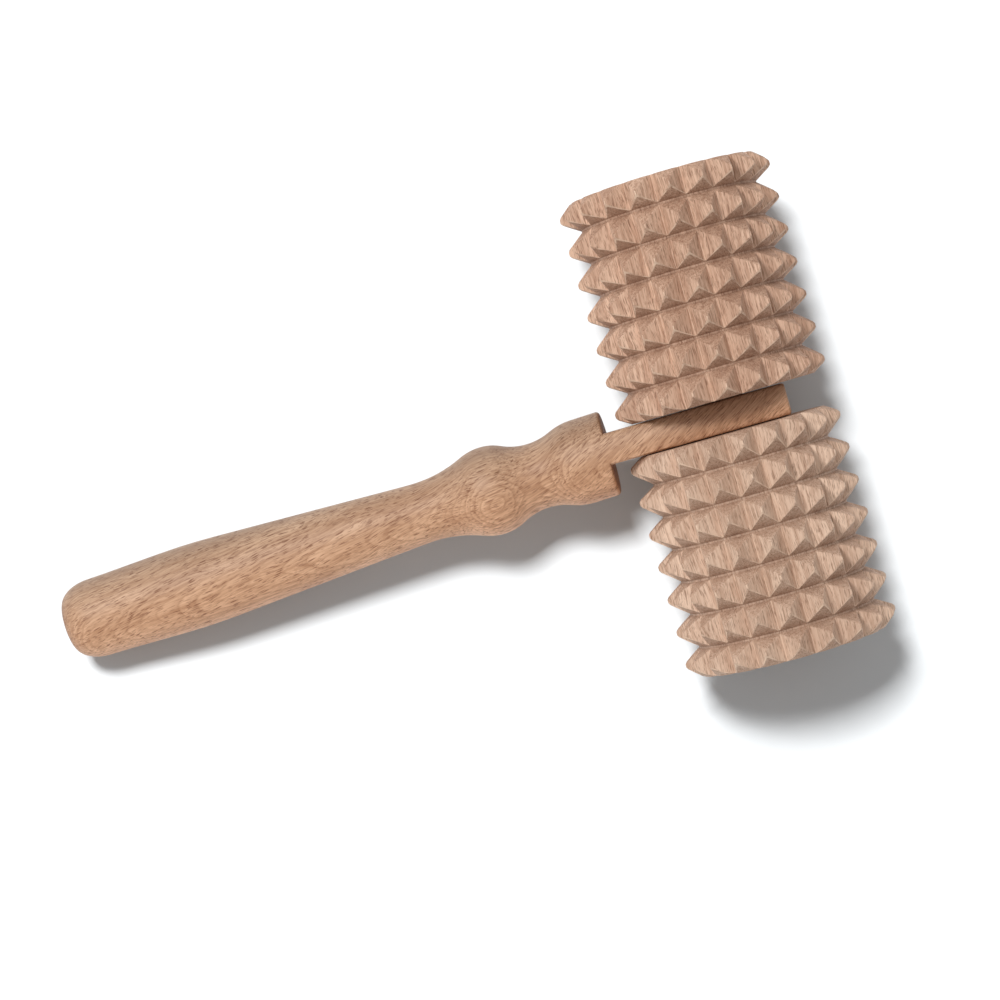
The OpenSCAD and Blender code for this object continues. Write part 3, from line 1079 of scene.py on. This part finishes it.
@dataclass
class SpikedRoller:
    """One roller, with its bore for the dowel and its recess for the end cap. In metres."""

    side: Side
    axle: Vector
    start: float
    end: float
    tip_r: float
    ring_depth: float = 5.5 * MM
    long_depth: float = 5.2 * MM
    recess_r: float = 11.8 * MM
    recess_depth: float = 6.0 * MM
    bore_r: float = 6.1 * MM
    rows: int = 7
    inner_trim: float = 1.0 * MM
    outer_trim: float = 1.4 * MM
    rest_turn: float = -1.5
    mouth_edge: float = 0.5 * MM
    hand_cut: float = 0.35 * MM
    tip_wear: float = 0.12 * MM
    seed: float = 0.0

    def core_outline(self) -> list[tuple[float, float]]:
        """Gives the half section of the bore and the recess, from the inner end to the outer one."""
        floor = self.end - self.recess_depth
        soft = self.mouth_edge
        return [
            (2 * self.recess_r, self.start),
            (self.recess_r, self.start),
            (self.bore_r + soft, self.start),
            (self.bore_r, self.start + soft),
            (self.bore_r, floor),
            (self.recess_r, floor),
            (self.recess_r, self.end - soft),
            (self.recess_r + soft, self.end),
            (2 * self.recess_r, self.end),
        ]

    def core(self, cut: SpikeCut) -> bpy.types.Object:
        """Builds the roller's ends, bore and recess, on the same columns as the spikes.

        Args:
            cut: the shape of the spikes.

        Returns:
            The core, open where the spikes' skin closes it.
        """
        turns = [spike * 2 * cut.half + a for spike in range(cut.spikes) for a in cut.columns[:-1]]
        inner_rim = cut.spikes * cut.rim(self.inner_trim, cut.pitch, False)
        outer_rim = cut.spikes * cut.rim(0.0, cut.pitch - self.outer_trim, True)
        count = len(turns)
        loops = [(inner_rim, self.start)]
        loops += [([radius] * count, y) for radius, y in self.core_outline()]
        loops += [(outer_rim, self.end)]
        points = [Vector((r * math.sin(a), y, r * math.cos(a))) for radii, y in loops for r, a in zip(radii, turns)]
        faces: list[tuple[int, ...]] = []
        for step in range(1, len(loops)):
            top = (step + 1) * count
            faces += bridge(list(range(top - count, top)), list(range(top - 2 * count, top - count)))
        mesh = bpy.data.meshes.new("core")
        mesh.from_pydata([tuple(p) for p in points], [], faces)
        made = bpy.data.objects.new("core", mesh)
        bpy.context.scene.collection.objects.link(made)
        return made

    def build(self, tree: Tree, material: bpy.types.Material) -> bpy.types.Object:
        """Builds the roller with the Geometry Nodes tree, as a plain mesh.

        Args:
            tree: the tree that sets the spikes.
            material: the roller's wood.

        Returns:
            The roller, in place.
        """
        # The painted highlight goes on the edge beside the wall that faces -Y, away from the soft box, on either
        # roller
        cut = SpikeCut(self.tip_r - self.tip_wear, self.tip_r - self.ring_depth, self.tip_r - self.long_depth,
                       highlit_row=2 if self.side is Side.LEFT else 4)
        helpers = [cut.tile("first_spike", self.inner_trim, cut.pitch), cut.tile("middle_spike", 0.0, cut.pitch),
                   cut.tile("last_spike", 0.0, cut.pitch - self.outer_trim), self.core(cut)]
        holder = bpy.data.objects.new("roller_holder", bpy.data.meshes.new("roller_holder"))
        bpy.context.scene.collection.objects.link(holder)
        work = holder.modifiers.new("spikes", "NODES")
        work.node_group = tree
        turned_over = self.side is Side.RIGHT
        values = {
            "First Spike": helpers[0],
            "Middle Spike": helpers[1],
            "Last Spike": helpers[2],
            "Core": helpers[3],
            "Rows": self.rows,
            "Spikes Round": cut.spikes,
            "Row Pitch": cut.pitch,
            "First Row": self.start - self.inner_trim,
            "Spike Turn": math.radians(self.rest_turn * self.side.sign),
            "Half Turn": math.pi if turned_over else 0.0,
            "Axle": self.axle,
            "Hand Cut": self.hand_cut,
            "Firm Radius": cut.long_floor_r + 0.4 * MM,
            "Firm Start": self.start + self.mouth_edge,
            "Firm End": self.end - self.mouth_edge,
            "Seed": self.seed,
            "Material": material,
        }
        for item in tree.interface.items_tree:
            if item.in_out == "INPUT":
                work[item.identifier] = values[item.name]
        shown = bpy.context.evaluated_depsgraph_get()
        shown.update()
        mesh = bpy.data.meshes.new_from_object(holder.evaluated_get(shown))
        holder.modifiers.remove(work)
        made = bpy.data.objects.new(f"spiked_roller_{self.side.value}", mesh)
        bpy.context.scene.collection.objects.link(made)
        for spent in [*helpers, holder]:
            bpy.data.objects.remove(spent)
        shade(mesh, 25)
        return made


# --------------------------------------------------------------------------- end caps


@dataclass
class EndCap:
    """A turned button with a blind socket, glued on an end of the dowel. In metres."""

    side: Side
    axle: Vector
    start: float
    end: float
    radius: float
    socket_r: float = 6.05 * MM
    socket_depth: float = 3.5 * MM
    edge: float = 1.0 * MM
    dimple: float = 0.35 * MM

    def build(self) -> bpy.types.Object:
        """Builds the cap: a rounded edge, a face turned very slightly hollow, and its socket."""
        steps = 6
        bend = [(self.radius - self.edge + self.edge * math.cos(math.pi / 2 * i / steps),
                 self.end - self.edge + self.edge * math.sin(math.pi / 2 * i / steps))
                for i in range(steps + 1)]
        hollow = [(share * (self.radius - self.edge), self.end - self.dimple * (1 - share ** 2) ** 2)
                  for share in (0.85, 0.65, 0.45, 0.25, 0.1, 0.0)]
        floor = self.start + self.socket_depth
        outline = [(0.0, floor), (self.socket_r, floor), (self.socket_r, self.start + 0.2 * MM),
                   (self.socket_r + 0.2 * MM, self.start), (self.radius - 0.2 * MM, self.start),
                   (self.radius, self.start + 0.2 * MM), *bend, *hollow]
        made = lathe(f"end_cap_{self.side.value}_turned", outline, even_turns(72))
        turn = Matrix.Rotation(0 if self.side is Side.LEFT else math.pi, 4, "Z")
        made.data.transform(Matrix.Translation(self.axle) @ turn)
        shade(made.data, 35)
        return made


# --------------------------------------------------------------------------- studio


@dataclass
class Studio:
    """The pale floor, the soft lamps and the camera over the tool. In metres and degrees."""

    axle: Vector
    height: float = 0.822
    focal_share: float = 2.767
    foot_right: float = 0.06762
    foot_up: float = 0.02529
    roll: float = 15.88
    lean: float = 0.96
    room_light: float = 0.5
    floor_colour: tuple[float, float, float, float] = srgb(198, 201, 203)

    def camera(self) -> None:
        """Sets the camera over the tool, nearly straight down, with the handle to the lower left."""
        made = bpy.data.cameras.new("camera")
        made.sensor_width = 36.0
        made.lens = 36.0 * self.focal_share
        made.clip_start = 0.01
        thing = bpy.data.objects.new("camera", made)
        bpy.context.scene.collection.objects.link(thing)
        turn = Matrix.Rotation(math.radians(self.roll), 4, "Z") @ Matrix.Rotation(math.radians(self.lean), 4, "X")
        back = Matrix.Translation(Vector((-self.foot_right, -self.foot_up, self.height)))
        thing.matrix_world = Matrix.Translation(self.axle) @ turn.inverted() @ back
        bpy.context.scene.camera = thing

    def lamp(self, name: str, way: Vector, away: float, size: float, level: float) -> bpy.types.Object:
        """Adds a square soft lamp that shines at the tool.

        Args:
            name: the lamp's name.
            way: the direction from the tool to the lamp.
            away: how far off it stands.
            size: the length of its side.
            level: how bright it shows a white surface that faces it.

        Returns:
            The lamp.
        """
        made = bpy.data.lights.new(name, "AREA")
        made.size = size
        made.energy = level * (math.pi * away) ** 2
        thing = bpy.data.objects.new(name, made)
        bpy.context.scene.collection.objects.link(thing)
        toward = way.normalized()
        middle = Vector((0.04, 0.0, 0.02))
        thing.matrix_world = (Matrix.Translation(middle + away * toward)
                              @ toward.to_track_quat("Z", "Y").to_matrix().to_4x4())
        return thing

    def floor(self) -> bpy.types.Object:
        """Lays the white floor, which keeps the tool's shadow, and returns it."""
        wide = 0.9
        under = -0.2 * MM
        thing = mesh_object("floor", [Vector((x * wide, y * wide, under)) for x, y in
                                      ((-1, -1), (1, -1), (1, 1), (-1, 1))], [(0, 1, 2, 3)])
        made = bpy.data.materials.new("white_floor")
        made.use_nodes = True
        shader = made.node_tree.nodes["Principled BSDF"]
        shader.inputs["Base Color"].default_value = self.floor_colour
        shader.inputs["Roughness"].default_value = 0.9
        shader.inputs["Specular IOR Level"].default_value = 0.0
        thing.data.materials.append(made)
        return thing

    def sky(self) -> None:
        """Fills the room with soft light, and shows white behind the tool."""
        world = bpy.data.worlds.new("room")
        bpy.context.scene.world = world
        world.use_nodes = True
        tree = world.node_tree
        fill = tree.nodes["Background"]
        fill.inputs["Color"].default_value = (1, 1, 1, 1)
        fill.inputs["Strength"].default_value = self.room_light
        shown = node_of(tree, "ShaderNodeBackground")
        shown.inputs["Color"].default_value = (1, 1, 1, 1)
        shown.inputs["Strength"].default_value = 1.0
        path = node_of(tree, "ShaderNodeLightPath")
        seen = maths(tree, "MAXIMUM", path.outputs["Is Camera Ray"], path.outputs["Is Glossy Ray"])
        mixed = node_of(tree, "ShaderNodeMixShader")
        plug(tree, seen, mixed.inputs[0])
        plug(tree, fill.outputs[0], mixed.inputs[1])
        plug(tree, shown.outputs[0], mixed.inputs[2])
        plug(tree, mixed.outputs[0], tree.nodes["World Output"].inputs["Surface"])

    def aim_at(self, lamp: bpy.types.Object, floor: bpy.types.Object, state: str) -> None:
        """Keeps a lamp's light to the floor, or off it.

        Args:
            lamp: the lamp.
            floor: the floor.
            state: INCLUDE to light only the floor, or EXCLUDE to light all but the floor.
        """
        lit = bpy.data.collections.new(f"{lamp.name}_lights")
        lit.objects.link(floor)
        lit.collection_objects[0].light_linking.link_state = state
        lamp.light_linking.receiver_collection = lit

    def set_up(self) -> None:
        """Sets up the whole studio and the picture's plain view transform."""
        self.camera()
        floor = self.floor()
        self.sky()
        soft_box = self.lamp("soft_box", Vector((-0.34, 0.42, 0.84)), 1.3, 0.36, 0.60)
        self.aim_at(soft_box, floor, "EXCLUDE")
        floor_lamp = self.lamp("floor_lamp", Vector((-0.14, 0.42, 0.90)), 3.2, 0.6, 1.7)
        self.aim_at(floor_lamp, floor, "INCLUDE")
        bpy.context.scene.view_settings.view_transform = "Standard"


# --------------------------------------------------------------------------- assembly


HANDLE_FINISH = BeechFinish(
    name="handle_beech",
    pale=srgb(250, 198, 158),
    deep=srgb(186, 132, 94),
    fleck=srgb(136, 82, 52),
    pith=(0.0, -14.0, 52.0),
    ring_width=0.75,
    ring_strength=0.5,
    fleck_strength=0.8,
    streak_strength=0.6,
    # painted shade on the side towards the soft box, partly the wood's greyer tone
    side_shade=(0.50, 0.57, 0.63, 1.0),
    side_shade_way=(0.0, 0.045, 0.0),
    dive=-0.14,
    drift=0.16,
    late_drift=0.45,
    drift_start=-48.0,
    roughness=0.5,
    bump=0.35,
    end_grain=0.7,
    sheen_coat=0.05,
)
LEFT_FINISH = BeechFinish(
    name="left_roller_beech",
    pale=srgb(228, 192, 166),
    deep=srgb(172, 132, 108),
    fleck=srgb(110, 72, 50),
    pith=(0.0, -30.0, 52.0),
    ring_width=2.4,
    ring_strength=0.3,
    fleck_size=0.8,
    fleck_strength=0.5,
    streak_strength=0.75,
    roughness=0.7,
    bump=0.4,
    # pale edges: worn, and a painted highlight
    wear=0.85,
    # dark groove floors: painted shade
    grime=0.6,
    end_grain=0.4,
)
RIGHT_FINISH = BeechFinish(
    name="right_roller_beech",
    pale=srgb(234, 204, 180),
    deep=srgb(186, 150, 126),
    fleck=srgb(118, 82, 60),
    pith=(0.0, 24.0, 60.0),
    ring_width=2.8,
    ring_strength=0.3,
    fleck_size=0.8,
    fleck_strength=0.45,
    streak_strength=0.7,
    roughness=0.7,
    bump=0.4,
    # pale edges: worn, and a painted highlight
    wear=0.95,
    # dark groove floors: painted shade
    grime=0.55,
    end_grain=0.42,
)
DOWEL_FINISH = BeechFinish(
    name="dowel_beech",
    pale=srgb(222, 186, 152),
    deep=srgb(190, 148, 114),
    fleck=srgb(150, 104, 76),
    pith=(0.0, 12.0, 20.0),
    roughness=0.6,
)
CAP_FINISH = BeechFinish(
    name="cap_beech",
    pale=srgb(214, 174, 142),
    deep=srgb(178, 132, 100),
    fleck=srgb(136, 92, 66),
    pith=(0.0, 16.0, 26.0),
    ring_width=2.2,
    ring_strength=0.6,
    roughness=0.55,
)


class HandRoller:
    """The whole tool: it reads the frame, builds each piece and sets it on its body."""

    def __init__(self) -> None:
        """Reads the axle's place and the sizes of the rollers and caps from the frame."""
        self.axle = Vector(frame["joints"][0]["pos_m"])
        low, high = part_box("roller_left")
        self.roller_span = (low.y, high.y)
        self.tip_r = (high.x - low.x) / 2
        cap_low, cap_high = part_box("end_cap_left")
        self.cap_span = (cap_low.y, cap_high.y)
        self.cap_r = (cap_high.z - cap_low.z) / 2
        mounts = {mount["name"]: mount for mount in frame["record"]["mounts"]}
        self.butt_axis = Vector(mounts["butt_flat"]["axis"]).normalized()
        self.along_dowel = Matrix.Translation(self.axle) @ Matrix.Rotation(math.pi / 2, 4, "Z")
        self.figure = beech_figure_group()
        self.handling = marks_and_painted_light_group()

    def wood(self, finish: BeechFinish, place: Matrix) -> bpy.types.Material:
        """Builds a finish whose grain runs along the X axis of a place."""
        return finish.material(self.figure, self.handling, place)

    def settle(self, piece: bpy.types.Object, node: str, body: str) -> None:
        """Lets a finished piece stand for its CAD node and ride on its body.

        Args:
            piece: the finished piece.
            node: the CAD node that it stands for.
            body: the body that it rides on.
        """
        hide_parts(node)
        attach(piece, body)
        log.info("%s: %d faces, on %s", piece.name, len(piece.data.polygons), body)

    def build_handle(self) -> None:
        """Builds the handle, and dresses the dowel that it carries."""
        handle = Handle(self.axle, self.butt_axis)
        piece = handle.build(frame["nodes"]["handle"])
        piece.data.materials.clear()
        turned = handle.place @ Matrix.Rotation(handle.skew, 4, "Z")
        piece.data.materials.append(self.wood(HANDLE_FINISH, turned))
        self.settle(piece, "handle", handle.body)
        dowel = frame["nodes"]["axle"]
        dowel.data.materials.clear()
        dowel.data.materials.append(self.wood(DOWEL_FINISH, self.along_dowel))
        log.info("axle: the CAD node, dressed")

    def build_rollers(self) -> None:
        """Builds the two rollers."""
        tree = spiked_roller_tree()
        for side, finish, seed in ((Side.LEFT, LEFT_FINISH, 0.3), (Side.RIGHT, RIGHT_FINISH, 0.9)):
            roller = SpikedRoller(side, self.axle, *self.roller_span, self.tip_r, seed=seed)
            piece = roller.build(tree, self.wood(finish, self.along_dowel))
            self.settle(piece, f"roller_{side.value}", f"{side.value}_roller")

    def build_caps(self) -> None:
        """Builds the two end caps."""
        material = self.wood(CAP_FINISH, self.along_dowel)
        for side in Side:
            piece = EndCap(side, self.axle, *self.cap_span, self.cap_r).build()
            piece.data.materials.append(material)
            self.settle(piece, f"end_cap_{side.value}", "handle_and_axle")


def main() -> None:
    """Builds the studio and the tool, piece by piece."""
    tool = HandRoller()
    Studio(tool.axle).set_up()
    tool.build_handle()
    tool.build_rollers()
    tool.build_caps()


if __name__ == "__main__":
    main()
